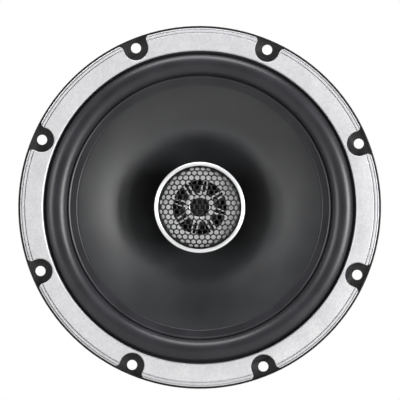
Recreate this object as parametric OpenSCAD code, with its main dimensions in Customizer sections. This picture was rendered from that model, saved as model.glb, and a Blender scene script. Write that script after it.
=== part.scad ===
// Coaxial car loudspeaker of the 165 mm class: a woofer on a pressed steel basket,
// with a dome tweeter held on a post in front of its cone.
//
// Each sub-part is drawn lying on its back: z = 0 is the face of the panel that the
// speaker is screwed to, +Z is the front, and the motor hangs below. facing() then
// stands it up as it is mounted in a door: the front looks along -Y and +Y here becomes +Z.

/* [Basket] */
// Diameter of the straight barrel that goes through the panel
barrel_d = 141.6; // [132:0.2:180]
// Length of the straight barrel behind the panel face
barrel_h = 8; // [5:0.5:12]
// Width of the flange outside the barrel
flange_w = 11.7; // [11:0.1:16]
// Distance from the barrel to the circle of the screw holes
hole_inset = 7.2; // [6.8:0.1:9]
// Number of screw holes
hole_count = 8; // [4:1:8]
// Diameter of a screw hole
screw_hole_d = 4.6; // [3.5:0.1:5.6]
// Thickness of the pressed steel sheet
sheet_t = 1.2; // [0.8:0.1:1.5]
// Panel face to the back of the basket's base
basket_depth = 37; // [34:0.5:50]
// Outer diameter of the spider shelf
shelf_d = 84; // [80:1:92]
// Depth of the spider shelf behind the panel face
shelf_depth = 26.5; // [25:0.5:28]
// Outer diameter of the cup under the shelf
cup_d = 66; // [60:1:72]
// Depth of the flat shoulder on the legs
shoulder_depth = 17.5; // [15:0.5:20]
// Width of the flat shoulder
shoulder_w = 13; // [12:0.5:16]
// Number of legs
leg_count = 4; // [3:1:6]
// Width of a leg
leg_w = 26; // [25:1:32]
// Corner radius of the windows between the legs
window_corner = 4; // [2:0.5:6]

/* [Rim] */
// Thickness of the foam gasket behind the flange
gasket_t = 1.5; // [1:0.1:3]
// Height of the trim ring above the flange
trim_h = 3.6; // [3:0.1:5]
// Radius of the notch in the trim ring round each screw
notch_r = 5.6; // [5:0.1:6]
// Radius of the trim ring's corners beside each notch
notch_corner = 1.8; // [1:0.1:2.2]

/* [Surround and cone] */
// Width of the surround's half roll
roll_w = 10; // [8:0.5:12]
// Thickness of the rubber
surround_t = 0.7; // [0.5:0.1:1]
// Width of the surround's inner glue flange
inner_flange_w = 4.4; // [3:0.1:6]
// Width of the surround's outer glue flange
outer_flange_w = 4.3; // [3:0.1:5]
// Thickness of the cone
cone_t = 0.6; // [0.4:0.1:1]
// Depth of the cone's neck behind the panel face
neck_depth = 18.5; // [17:0.5:22]
// How far the cone's slope turns either side of its mean
cone_flare = 20; // [5:1:22]

/* [Motor] */
// Inner diameter of the voice coil former
coil_d = 28.8; // [25:0.1:30]
// Height of the voice coil winding
coil_h = 12; // [8:0.5:14]
// Build of the winding on the former
coil_build = 0.7; // [0.4:0.1:1]
// Outer diameter of the ferrite ring
magnet_d = 90; // [80:1:100]
// Inner diameter of the ferrite ring
magnet_bore_d = 46; // [40:1:50]
// Thickness of the ferrite ring
magnet_h = 15; // [14:0.5:20]
// Diameter of the steel plates on the magnet
plate_d = 86; // [80:1:90]
// Thickness of each steel plate
plate_t = 5; // [4:0.5:8]

/* [Tweeter] */
// Diameter of the tweeter head
head_d = 41.2; // [41:0.1:50]
// Height of the head's bezel in front of the panel face
head_z = 11; // [10:0.5:16]
// Diameter of the dome
dome_d = 25; // [24.5:0.1:26]
// Height of the dome
dome_h = 4.6; // [4:0.1:4.8]
// Pitch of the grille's holes
mesh_pitch = 2.58; // [2.4:0.02:3.2]
// Diameter of the grille's holes
mesh_hole_d = 2.1; // [1.6:0.1:2.2]
// Number of petals in the phase plate
petal_count = 8; // [6:1:9]
// Outer diameter of the post
post_d = 12; // [11:0.5:14]
// Diameter of the post's threaded end
post_thread_d = 8; // [8:0.5:9]

/* [Terminals] */
// Angle of the leg that carries the terminals
terminal_angle = 135; // [45:90:315]
// Angle of the capacitor on the top plate's edge
capacitor_angle = 111; // [109:1:112]
// Diameter of the capacitor
capacitor_d = 8; // [6:0.5:9]
// Length of the capacitor
capacitor_l = 15; // [12:0.5:16]

/* [Hidden] */
$fn = 96;

// Clearances
glue = 0.1;        // a bonded face
slip = 0.1;        // a piece dropped into its seat
coil_gap = 0.4;    // coil to pole, and coil to top plate
dome_gap = 0.25;   // tweeter coil to its pole plate and pot
thread_gap = 0.05; // nut on post
over = 1;          // how far a cutter reaches past a face

// Basket
barrel_r = barrel_d / 2;
barrel_in_r = barrel_r - sheet_t;
flange_r = barrel_r + flange_w;
screw_circle_r = barrel_r + hole_inset;
flange_z = gasket_t + sheet_t;
bend_r = gasket_t;
lip_t = 0.55;
lip_h = 1;
shoulder_out_r = barrel_r - 7.8;
shoulder_in_r = shoulder_out_r - shoulder_w;
shelf_r = shelf_d / 2;
cup_r = cup_d / 2;
shelf_z = sheet_t - shelf_depth;
base_z = sheet_t - basket_depth;
shoulder_z = -shoulder_depth;
window_in_r = shelf_r + 2.5;
window_out_r = barrel_r - 3.3;
leg_step = 360 / leg_count;
rib_w = 6;
rib_h = 1;
vent_count = 8;
vent_w = 8;
vent_h = 4;
vent_z = -(shelf_depth + basket_depth + vent_h) / 2;

// Surround and cone
roll_r = roll_w / 2;
roll_mid_r = barrel_in_r + 0.6 - roll_r;
surround_z = flange_z + glue;
surround_in_r = roll_mid_r - roll_r - inner_flange_w;
surround_out_r = roll_mid_r + roll_r + outer_flange_w;
cone_rim_r = roll_mid_r - roll_r - 0.5;
cone_rim_z = surround_z - glue;
former_r = coil_d / 2;
former_t = 0.25;
former_out_r = former_r + former_t;
neck_r = former_out_r + glue;
collar_t = 0.8;
collar_h = 1.8;

// Motor, from the basket's base down
top_plate_z = -basket_depth;
magnet_z = top_plate_z - plate_t;
yoke_z = magnet_z - magnet_h;
back_z = yoke_z - plate_t;
pole_r = former_r - coil_gap;
pole_z = top_plate_z + 0.5;
gap_mid_z = top_plate_z - plate_t / 2;
winding_r = former_out_r + coil_build;
gap_r = winding_r + coil_gap;
former_z = gap_mid_z - coil_h / 2 - 0.5;
plate_chamfer = 1;
spider_z = shelf_z + glue;
spider_t = 0.4;
spider_out_r = shelf_r - 1.6;
spider_pitch = 2.8;
spider_waves = 5;
spider_wave_h = 1.1;
spider_flat_r = cup_r - sheet_t - 0.6;

// Rivets through the basket's base
rivet_r = 1.5;
rivet_head_r = 3;
rivet_head_h = 1.2;
rivet_count = 6;
rivet_circle_r = (cup_r + gap_r) / 2 + 1;
base_hole_r = gap_r + 2.5;

// Trim ring
trim_in_r = roll_mid_r + roll_r + 1.1;
trim_out_r = flange_r - lip_t - 0.4;
trim_top_z = flange_z + trim_h;
trim_step = 0.35;
trim_groove = 0.25;
groove_pitch = 1.4;

// Tweeter: the stack of its pieces, from the bezel down
head_r = head_d / 2;
bezel_t = 0.7;
bezel_lip_w = 1.8;
bezel_lip_h = 1.5;
bezel_h = 8;
grille_t = 0.5;
grille_rim_z = head_z - bezel_lip_h - grille_t - glue;
grille_edge_r = head_r - bezel_lip_w - grille_t - 0.3;
grille_side = 3.6;
plate_seat_z = head_z - 3.5;
seat_r = head_r - bezel_t - slip;
phase_rim_t = 1.2;
phase_web_z = head_z - 5.2;
phase_web_t = 1.4;
flare_in_r = 12.3;
petal_in_r = 6.5;
spoke_w = 2.4;
eye_r = 4.3;
dome_r = dome_d / 2;
dome_t = 0.3;
dome_z = head_z - 10.9;
dome_roll_r = 1.1;
pot_top_z = dome_z - 0.5;
pot_floor_t = 1.8;
pot_h = 5.8;
pot_z = pot_top_z - pot_h;
pot_floor_z = pot_z + pot_floor_t;
tweeter_plate_t = 1.5;
tweeter_plate_z = pot_top_z - tweeter_plate_t;
tweeter_former_t = 0.15;
tweeter_coil_build = 0.5;
tweeter_plate_r = dome_r - tweeter_former_t - dome_gap;
tweeter_winding_r = dome_r + tweeter_coil_build;
pot_in_r = tweeter_winding_r + 0.3;
pot_r = pot_in_r + 3.3;
felt_t = 0.8;
felt_r = 9;
housing_floor_t = 1.3;
housing_z = pot_z - slip - housing_floor_t;
housing_foot_r = pot_r + slip + 1.2;
housing_waist_z = head_z - bezel_h - 3;

// Post and its nut
post_r = post_d / 2;
post_thread_r = post_thread_d / 2;
post_bore_r = 2.4;
post_flange_r = 9;
post_flange_h = 2;
nut_seat_z = back_z + 4.5;
nut_seat_r = 9;
washer_r = 8;
washer_t = 1;
nut_across = 13;
nut_h = 3;
post_end_z = nut_seat_z - washer_t - nut_h - 0.2;

// Terminals: x is radial, y runs along the block
pad_r = (shoulder_in_r + shoulder_out_r) / 2 - 0.5;
block_w = 11;
block_l = 24;
block_h = 8;
block_z = shoulder_z - glue;
blade_y = 4;
blade_t = 0.8;
blade_h = 8;
blade_wide = 4.8;
blade_narrow = 2.8;
tail_w = 2;
tail_top_z = shoulder_z + 4;
boss_l = 13;
boss_w = 3.6;
terminal_rivet_y = 9.5;
terminal_head_r = 2.8;
terminal_head_h = 0.8;

// Wires: round-number routes, in the frame of the leg or of the capacitor
tinsel_r = 0.6;
tinsel_route = [
    [55.8, 4, -13], [55.4, 4, -11.8], [53, 4.2, -11], [48, 4.6, -12.2], [42, 5, -15.2],
    [35, 5.2, -18.2], [28, 5.2, -19.8], [21, 5, -20.6], [15, 5, -20.8]
];
wire_r = 0.7;
wire_route = [
    [0, 0.9, -6.8], [0, 0.9, -30], [0, 0.9, -60.5], [0.5, 0.9, -61.9], [1.8, 0.9, -62.7],
    [4, 0.9, -62.9], [24, 0.9, -62.9], [42.5, 0.9, -62.9], [44.8, 0.9, -62.3],
    [46, 0.9, -60.6], [46.1, 1.2, -57]
];
positive_end = [[46, -4, -53], [45.7, -8.6, -50], [45.6, -10.7, -47], [45.6, -10.7, -44]];
negative_end = [
    [46, 4, -53], [45.4, 9, -50], [43, 18, -46], [44.5, 24, -38.5], [46.8, 26.2, -31],
    [48.3, 26.4, -27.5]
];
bare_r = 0.4;
blade_lead = [
    [47.2, 7.6, -37.7], [47.4, 9.5, -37.5], [50, 14.5, -32], [51.8, 17.8, -28.5],
    [52, 18.3, -27]
];
sleeve_lead = [[47.2, -7.6, -37.7], [47.1, -9.4, -37.9], [46.2, -10.5, -39], [45.6, -10.7, -42]];
sleeve_at = [45.6, -10.7, -43.7];
sleeve_r = 1.3;
sleeve_l = 5;
capacitor_z = top_plate_z - 0.7;

// ---- helpers ----

module facing() { rotate([90, 0, 0]) children(); }

module around(count, start = 0) {
    for (k = [0 : count - 1]) rotate([0, 0, start + k * 360 / count]) children();
}

module disc(r, z, h) { translate([0, 0, z]) cylinder(r = r, h = h); }

module ring(r_out, r_in, z, h) {
    difference() {
        disc(r_out, z, h);
        disc(r_in, z - over, h + 2 * over);
    }
}

module lathe(outline) { rotate_extrude() polygon(outline); }

function unit(v) = v / norm(v);
function edge_normal(p, i) = let (d = unit(p[i + 1] - p[i])) [d.y, -d.x];
function mitre(p, i, t) =
    i == 0 ? p[i] + t * edge_normal(p, i)
    : i == len(p) - 1 ? p[i] + t * edge_normal(p, i - 1)
    : let (a = edge_normal(p, i - 1), b = edge_normal(p, i)) p[i] + t * (a + b) / (1 + a * b);

// A sheet of thickness t on the right-hand side of a path of [radius, height] points
function sheet(path, t) = concat(path, [for (i = [len(path) - 1 : -1 : 0]) mitre(path, i, t)]);

function polar(r, a) = r * [cos(a), sin(a)];

// Points of an arc after its first one, which the outline already holds
function arc(centre, r, a0, a1, n) =
    [for (i = [1 : n]) centre + polar(r, a0 + (a1 - a0) * i / n)];

// Cross-section directions along a route, each turned as little as possible from the last
function tangent(p, i) = unit(p[min(i + 1, len(p) - 1)] - p[max(i - 1, 0)]);
function carried(p, i) =
    i == 0 ? unit(cross(tangent(p, 0), [0.3, 0.9, 0.2]))
    : let (t = tangent(p, i), n = carried(p, i - 1)) unit(n - (n * t) * t);

// A round tube swept along a route, closed at both ends
module tube(route, r, sides = 8) {
    rings = len(route);
    points = [
        for (i = [0 : rings - 1])
            let (t = tangent(route, i), n = carried(route, i), b = cross(t, n))
                for (k = [0 : sides - 1])
                    route[i] + r * (cos(k * 360 / sides) * n + sin(k * 360 / sides) * b)
    ];
    walls = [
        for (i = [0 : rings - 2])
            for (k = [0 : sides - 1])
                [i * sides + k, (i + 1) * sides + k,
                 (i + 1) * sides + (k + 1) % sides, i * sides + (k + 1) % sides]
    ];
    near_end = [for (k = [0 : sides - 1]) k];
    far_end = [for (k = [sides - 1 : -1 : 0]) (rings - 1) * sides + k];
    polyhedron(points, concat(walls, [near_end, far_end]));
}

module at_leg() { rotate([0, 0, terminal_angle]) children(); }
module at_pad() { at_leg() translate([pad_r, 0, 0]) children(); }
module at_capacitor() { rotate([0, 0, capacitor_angle]) children(); }

// ---- basket and rim ----

// Rear side of the basket's sheet, from the flange's edge to the hole in its base
basket_path = concat(
    [[flange_r, gasket_t], [barrel_r + bend_r, gasket_t]],
    arc([barrel_r + bend_r, 0], bend_r, 90, 180, 4),
    [
        [barrel_r, -barrel_h], [shoulder_out_r, shoulder_z], [shoulder_in_r, shoulder_z],
        [shelf_r, -shelf_depth], [cup_r, -shelf_depth], [cup_r, -basket_depth],
        [base_hole_r, -basket_depth]
    ]
);

// One window, centred on +X between two legs with straight sides
function window_outline() =
    let (
        half = leg_step / 2,
        side = leg_w / 2 + window_corner,
        far = window_out_r - window_corner,
        near = window_in_r + window_corner,
        a_far = half - asin(side / far),
        a_near = half - asin(side / near)
    )
    concat(
        arc([0, 0], window_out_r, -a_far, a_far, 12),
        arc(polar(far, a_far), window_corner, a_far, 90 + half, 5),
        arc(polar(near, a_near), window_corner, 90 + half, 180 + a_near, 5),
        arc([0, 0], window_in_r, a_near, -a_near, 8),
        arc(polar(near, -a_near), window_corner, 180 - a_near, 270 - half, 5),
        arc(polar(far, -a_far), window_corner, 270 - half, 360 - a_far, 5)
    );

module screw_holes(r) {
    around(hole_count, 180 / hole_count)
        translate([screw_circle_r, 0, -over]) cylinder(r = r, h = flange_z + 2 * over);
}

// Pressed bead down the middle of each leg that has no terminals
module leg_ribs() {
    intersection() {
        lathe(sheet(
            [
                [barrel_r, -barrel_h], [shoulder_out_r, shoulder_z], [shoulder_in_r, shoulder_z],
                [shelf_r, -shelf_depth]
            ],
            -rib_h
        ));
        for (k = [1 : leg_count - 1])
            rotate([0, 0, terminal_angle + k * leg_step])
                translate([shelf_r + 1, -rib_w / 2, -shelf_depth])
                    cube([barrel_r - shelf_r - 2, rib_w, shelf_depth]);
    }
}

module basket() {
    color("#1d1e20") facing() difference() {
        union() {
            lathe(sheet(basket_path, sheet_t));
            ring(flange_r, flange_r - lip_t, flange_z - sheet_t / 2, lip_h + sheet_t / 2);
            leg_ribs();
        }
        screw_holes(screw_hole_d / 2);
        around(leg_count, terminal_angle + leg_step / 2)
            translate([0, 0, -shelf_depth - over])
                linear_extrude(shelf_depth - barrel_h + 2 * over) polygon(window_outline());
        around(vent_count, 360 / vent_count / 2)
            translate([cup_r - sheet_t - over, -vent_w / 2, vent_z])
                cube([sheet_t + 2 * over, vent_w, vent_h]);
        around(rivet_count)
            translate([rivet_circle_r, 0, -basket_depth - over])
                cylinder(r = rivet_r + slip, h = sheet_t + 2 * over);
        at_pad() {
            for (y = [-terminal_rivet_y, terminal_rivet_y])
                translate([0, y, shoulder_z - over])
                    cylinder(r = rivet_r + slip, h = sheet_t + 2 * over);
            translate([-boss_w / 2 - slip, -boss_l / 2 - slip, shoulder_z - over])
                cube([boss_w + 2 * slip, boss_l + 2 * slip, sheet_t + 2 * over]);
        }
    }
}

module rear_gasket() {
    color("#2a2a2a") facing() difference() {
        ring(flange_r - 0.5, barrel_r + bend_r + 0.3, 0, gasket_t);
        screw_holes(screw_hole_d / 2 + 0.4);
    }
}

// Outline of the notch round one screw, centred on +X and open at the rim
module notch_outline() {
    corner_x = sqrt(pow(trim_out_r - notch_corner, 2) - pow(notch_r + notch_corner, 2));
    translate([screw_circle_r, 0]) {
        circle(r = notch_r);
        translate([0, -notch_r]) square([flange_w, 2 * notch_r]);
    }
    for (side = [-1, 1])
        difference() {
            translate([corner_x, side * (notch_r + notch_corner / 2)])
                translate([0, -notch_corner / 2]) square([flange_w, notch_corner]);
            translate([corner_x, side * (notch_r + notch_corner)]) circle(r = notch_corner);
        }
}

// Three small terraces with grooves run round the outer edge of the ring
trim_outline =
    let (
        low = trim_top_z - 2 * trim_step,
        mid = trim_top_z - trim_step,
        g1 = trim_out_r - 0.65,
        g2 = g1 - groove_pitch,
        over_surround_z = surround_z + surround_t + glue
    )
    [
        [surround_out_r + 0.3, flange_z + glue], [trim_out_r, flange_z + glue],
        [trim_out_r, low - 0.4], [trim_out_r - 0.3, low],
        [g1 + trim_groove, low], [g1, low - trim_groove], [g1 - trim_groove, mid],
        [g2 + trim_groove, mid], [g2, mid - trim_groove], [g2 - trim_groove, trim_top_z],
        [trim_in_r + 0.6, trim_top_z], [trim_in_r, trim_top_z - 0.6],
        [trim_in_r, over_surround_z], [surround_out_r + 0.3, over_surround_z]
    ];

module trim_ring() {
    color("#c9c9ce") facing() difference() {
        lathe(trim_outline);
        around(hole_count, 180 / hole_count) linear_extrude(trim_top_z + over) notch_outline();
    }
}

// ---- moving parts of the woofer ----

module surround() {
    back = concat(
        [[surround_in_r, surround_z], [roll_mid_r - roll_r + surround_t, surround_z]],
        arc([roll_mid_r, surround_z], roll_r - surround_t, 180, 0, 14),
        [[surround_out_r, surround_z]]
    );
    color("#17181a") facing() lathe(sheet(back, -surround_t));
}

// Front side of the cone: a collar on the former, a flaring arc and a flat rim
module cone() {
    foot = [neck_r + collar_t, -neck_depth];
    edge = [surround_in_r - 0.2, cone_rim_z];
    chord = edge - foot;
    mean = atan2(chord.y, chord.x);
    flare_r = norm(chord) / (2 * sin(cone_flare));
    centre = foot + flare_r * [sin(mean + cone_flare), -cos(mean + cone_flare)];
    front = concat(
        [foot],
        arc(centre, flare_r, 90 + mean + cone_flare, 90 + mean - cone_flare, 12),
        [[cone_rim_r, cone_rim_z]]
    );
    color("#3b3b3d") facing() {
        lathe(sheet(front, cone_t));
        ring(neck_r + collar_t + 0.2, neck_r, -neck_depth - cone_t, collar_h);
    }
}

module voice_coil_former() {
    color("#b08a4a") facing()
        ring(former_out_r, former_r, former_z, collar_h - neck_depth - cone_t - former_z);
}

module voice_coil_winding() {
    color("#a5612b") facing()
        ring(winding_r, former_out_r + 0.02, gap_mid_z - coil_h / 2, coil_h);
}

// Corrugated cloth disc between the shelf and the former
module spider() {
    steps = 6 * spider_waves;
    first_r = spider_flat_r;
    wave = [
        for (i = [0 : steps])
            [
                first_r - i * spider_waves * spider_pitch / steps,
                spider_z + spider_t + spider_wave_h * sin(i * 360 / 6)
            ]
    ];
    path = concat([[spider_out_r, spider_z + spider_t]], wave,
        [[former_out_r + glue, spider_z + spider_t]]);
    color("#8c6a2e") facing() lathe(sheet(path, -spider_t));
}

// ---- motor ----

module top_plate() {
    color("#8a8d91") facing() difference() {
        lathe([
            [gap_r, magnet_z], [plate_d / 2 - plate_chamfer, magnet_z],
            [plate_d / 2, magnet_z + plate_chamfer], [plate_d / 2, top_plate_z - plate_chamfer],
            [plate_d / 2 - plate_chamfer, top_plate_z], [gap_r, top_plate_z]
        ]);
        around(rivet_count)
            translate([rivet_circle_r, 0, magnet_z + 1]) cylinder(r = rivet_r + slip, h = plate_t);
    }
}

module ferrite_magnet() {
    color("#3a3a3c") facing() lathe([
        [magnet_bore_d / 2, yoke_z], [magnet_d / 2 - plate_chamfer, yoke_z],
        [magnet_d / 2, yoke_z + plate_chamfer], [magnet_d / 2, magnet_z - plate_chamfer],
        [magnet_d / 2 - plate_chamfer, magnet_z], [magnet_bore_d / 2, magnet_z]
    ]);
}

// Back plate and pole in one piece, bored for the post and recessed for its nut
module yoke() {
    bore = post_thread_r + 2 * slip;
    color("#8a8d91") facing() lathe([
        [nut_seat_r, back_z], [plate_d / 2 - plate_chamfer, back_z],
        [plate_d / 2, back_z + plate_chamfer], [plate_d / 2, yoke_z - plate_chamfer],
        [plate_d / 2 - plate_chamfer, yoke_z], [pole_r, yoke_z],
        [pole_r, pole_z - plate_chamfer], [pole_r - plate_chamfer, pole_z],
        [bore, pole_z], [bore, nut_seat_z], [nut_seat_r, nut_seat_z]
    ]);
}

module basket_rivets() {
    color("#9a9da0") facing() around(rivet_count) translate([rivet_circle_r, 0, 0]) {
        translate([0, 0, magnet_z + 1.5]) cylinder(r = rivet_r, h = base_z - magnet_z - 1);
        translate([0, 0, base_z]) cylinder(r = rivet_head_r, h = rivet_head_h);
    }
}

// ---- terminals and wiring ----

module terminal_block() {
    color("#232425") facing() at_pad() difference() {
        union() {
            translate([-block_w / 2, -block_l / 2, block_z - block_h])
                cube([block_w, block_l, block_h]);
            translate([-boss_w / 2, -boss_l / 2, block_z - over])
                cube([boss_w, boss_l, sheet_t + over + 0.6]);
        }
        for (y = [-terminal_rivet_y, terminal_rivet_y])
            translate([0, y, block_z - block_h - over])
                cylinder(r = rivet_r + slip, h = block_h + 2 * over);
        blade_slot(-blade_y, blade_wide);
        blade_slot(blade_y, blade_narrow);
    }
}

// The slot that one blade's root and its tail fill
module blade_slot(y, width) {
    translate([-blade_t / 2 - slip, y - width / 2 - slip, block_z - block_h - over])
        cube([blade_t + 2 * slip, width + 2 * slip, 4 + over]);
    translate([-blade_t / 2 - slip, y - tail_w / 2 - slip, block_z - block_h])
        cube([blade_t + 2 * slip, tail_w + 2 * slip, block_h + sheet_t + over]);
}

module blade(y, width) {
    root_z = block_z - block_h + 4 - slip;
    translate([-blade_t / 2, y - width / 2, block_z - block_h - blade_h])
        cube([blade_t, width, root_z - block_z + block_h + blade_h]);
    translate([-blade_t / 2, y - tail_w / 2, root_z - over])
        cube([blade_t, tail_w, tail_top_z - root_z + over]);
}

module terminal_blade_positive() { color("#d9c27a") facing() at_pad() blade(-blade_y, blade_wide); }
module terminal_blade_negative() { color("#c4c6c8") facing() at_pad() blade(blade_y, blade_narrow); }

module terminal_rivets() {
    shank = block_h + glue + sheet_t;
    color("#a9abad") facing() at_pad() for (y = [-terminal_rivet_y, terminal_rivet_y])
        translate([0, y, block_z - block_h]) {
            cylinder(r = rivet_r, h = shank);
            translate([0, 0, -terminal_head_h]) cylinder(r = terminal_head_r, h = terminal_head_h);
            translate([0, 0, shank]) cylinder(r = terminal_head_r, h = terminal_head_h);
        }
}

module tinsel_lead_positive() {
    color("#b86a35") facing() at_leg() mirror([0, 1, 0]) tube(tinsel_route, tinsel_r);
}

module tinsel_lead_negative() {
    color("#b86a35") facing() at_leg() tube(tinsel_route, tinsel_r);
}

module crossover_capacitor() {
    color("#1f3b63") facing() at_capacitor()
        translate([plate_d / 2 + capacitor_d / 2 + slip, 0, capacitor_z]) rotate([90, 0, 0])
            difference() {
                cylinder(r = capacitor_d / 2, h = capacitor_l, center = true);
                for (end = [-1, 1])
                    translate([0, 0, end * (capacitor_l / 2 - 1.6)]) ring(
                        capacitor_d / 2 + over, capacitor_d / 2 - 0.4, -0.4, 0.8);
            }
}

module capacitor_leads() {
    color("#c8cacc") facing() at_capacitor() {
        tube(blade_lead, bare_r);
        tube(sleeve_lead, bare_r);
    }
}

module joint_sleeve() {
    color("#151515") facing() at_capacitor() translate(sleeve_at)
        ring(sleeve_r, wire_r + slip, -sleeve_l / 2, sleeve_l);
}

module tweeter_wire_positive() {
    color("#b02222") facing() at_capacitor()
        tube(concat([for (p = wire_route) [p.x, -p.y, p.z]], positive_end), wire_r);
}

module tweeter_wire_negative() {
    color("#161616") facing() at_capacitor() tube(concat(wire_route, negative_end), wire_r);
}

// ---- post ----

module tweeter_post() {
    color("#1b1b1c") facing() lathe([
        [post_bore_r, post_end_z], [post_thread_r, post_end_z], [post_thread_r, pole_z],
        [post_r, pole_z], [post_r, housing_z - slip - post_flange_h - 2],
        [post_flange_r, housing_z - slip - post_flange_h], [post_flange_r, housing_z - slip],
        [post_thread_r, housing_z - slip], [post_thread_r, pot_z - 2 * slip],
        [post_bore_r, pot_z - 2 * slip]
    ]);
}

module post_washer() {
    color("#b9bbbd") facing()
        ring(washer_r, post_thread_r + slip, nut_seat_z - washer_t, washer_t);
}

module post_nut() {
    color("#b9bbbd") facing() translate([0, 0, nut_seat_z - washer_t - nut_h]) difference() {
        cylinder(r = nut_across / 2 / cos(30), h = nut_h, $fn = 6);
        translate([0, 0, -over]) cylinder(r = post_thread_r + thread_gap, h = nut_h + 2 * over);
    }
}

// ---- tweeter ----

module tweeter_housing() {
    pocket_r = pot_r + slip;
    collar_z = head_z - bezel_h - slip;
    color("#19191a") facing() lathe([
        [post_thread_r + slip, housing_z], [housing_foot_r, housing_z],
        [head_r - 0.2, housing_waist_z], [head_r - 0.2, collar_z], [seat_r, collar_z],
        [seat_r, plate_seat_z - slip], [pocket_r, plate_seat_z - slip], [pocket_r, pot_z - slip],
        [post_thread_r + slip, pot_z - slip]
    ]);
}

module tweeter_bezel() {
    round_r = bezel_lip_w / 2;
    lip = concat(
        [
            [head_r - bezel_t, head_z - bezel_h], [head_r, head_z - bezel_h],
            [head_r, head_z - round_r]
        ],
        arc([head_r - round_r, head_z - round_r], round_r, 0, 180, 8),
        [
            [head_r - bezel_lip_w, head_z - bezel_lip_h],
            [head_r - bezel_t, head_z - bezel_lip_h]
        ]
    );
    color("#e3e4e6") facing() lathe(lip);
}

// Perforated cap: a rim under the bezel's lip, a steep side and a flat crown with the holes
module tweeter_grille() {
    crown_r = grille_edge_r - 1.1;
    crown_z = grille_rim_z + grille_side;
    back = [
        [seat_r, grille_rim_z], [grille_edge_r, grille_rim_z], [crown_r, crown_z], [0, crown_z]
    ];
    reach = floor(crown_r / mesh_pitch) + 1;
    rows = floor(crown_r / (mesh_pitch * sin(60)));
    color("#141414") facing() difference() {
        lathe(sheet(back, grille_t));
        for (j = [-rows : rows], i = [-reach : reach]) {
            at = mesh_pitch * [i + 0.5 * (abs(j) % 2), j * sin(60)];
            if (norm(at) < crown_r - mesh_hole_d / 2 - grille_t)
                translate([at.x, at.y, crown_z - over])
                    cylinder(d = mesh_hole_d, h = grille_t + 2 * over);
        }
    }
}

// Flared plate with petals round a central ring, clamped between grille and housing
module phase_plate() {
    rim_z = plate_seat_z;
    color("#c2c4c6") facing() difference() {
        lathe([
            [eye_r, phase_web_z], [flare_in_r + 1, phase_web_z], [pot_r - slip, rim_z],
            [seat_r, rim_z], [seat_r, rim_z + phase_rim_t], [seat_r - 1.5, rim_z + phase_rim_t],
            [flare_in_r, phase_web_z + phase_web_t], [eye_r, phase_web_z + phase_web_t]
        ]);
        translate([0, 0, phase_web_z - over]) linear_extrude(phase_web_t + 2 * over)
            difference() {
                circle(r = flare_in_r);
                circle(r = petal_in_r);
                for (k = [0 : petal_count - 1])
                    rotate(10 + (k + 0.5) * 360 / petal_count)
                        translate([0, -spoke_w / 2]) square([head_r, spoke_w]);
            }
    }
}

// Thin spherical cap; its edge stands on the coil former
module tweeter_dome() {
    cap_r = (dome_r * dome_r + dome_h * dome_h) / (2 * dome_h);
    half = asin(dome_r / cap_r);
    back = concat([[dome_r, dome_z]], arc([0, dome_z + dome_h - cap_r], cap_r, 90 - half, 90, 8));
    color("#202124") facing() lathe(sheet(back, dome_t));
}

module tweeter_dome_surround() {
    in_r = dome_r + dome_t + 0.4;
    mid_r = in_r + dome_roll_r;
    back = concat(
        [[in_r, dome_z - 0.3]],
        arc([mid_r, dome_z - 0.3], dome_roll_r, 180, 0, 8),
        [[pot_r - 0.2, dome_z - 0.3]]
    );
    color("#1a1b1d") facing() lathe(sheet(back, -0.2));
}

module tweeter_coil_former() {
    color("#c0a060") facing()
        ring(dome_r, dome_r - tweeter_former_t, tweeter_plate_z - 1, dome_z - tweeter_plate_z + 0.9);
}

module tweeter_coil_winding() {
    color("#a5612b") facing()
        ring(tweeter_winding_r, dome_r + 0.02, tweeter_plate_z - 0.1, tweeter_plate_t + 0.2);
}

module tweeter_felt() { color("#3c3c3a") facing() disc(felt_r, pot_top_z + glue, felt_t); }

module tweeter_pole_plate() {
    color("#8a8d91") facing() disc(tweeter_plate_r, tweeter_plate_z, tweeter_plate_t);
}

module tweeter_magnet() {
    color("#a7a9ac") facing()
        disc(tweeter_plate_r - 1, pot_floor_z, tweeter_plate_z - pot_floor_z);
}

module tweeter_pot() {
    color("#8a8d91") facing() difference() {
        disc(pot_r, pot_z, pot_h);
        disc(pot_in_r, pot_floor_z, pot_h);
    }
}

basket();
rear_gasket();
trim_ring();
surround();
cone();
voice_coil_former();
voice_coil_winding();
spider();
top_plate();
ferrite_magnet();
yoke();
basket_rivets();
terminal_block();
terminal_blade_positive();
terminal_blade_negative();
terminal_rivets();
tinsel_lead_positive();
tinsel_lead_negative();
crossover_capacitor();
capacitor_leads();
joint_sleeve();
tweeter_wire_positive();
tweeter_wire_negative();
tweeter_post();
post_washer();
post_nut();
tweeter_housing();
tweeter_bezel();
tweeter_grille();
phase_plate();
tweeter_dome();
tweeter_dome_surround();
tweeter_coil_former();
tweeter_coil_winding();
tweeter_felt();
tweeter_pole_plate();
tweeter_magnet();
tweeter_pot();
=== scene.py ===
# %% [markdown]
# # A coaxial car loudspeaker, 165 mm class
# A woofer cone hangs in a pressed steel basket on a rubber half roll. A small dome tweeter stands on a
# post in front of it, under a perforated cap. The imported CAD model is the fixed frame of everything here:
# each piece below takes its place from it, and stands for one or more of its nodes.

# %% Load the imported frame
import math

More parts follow.
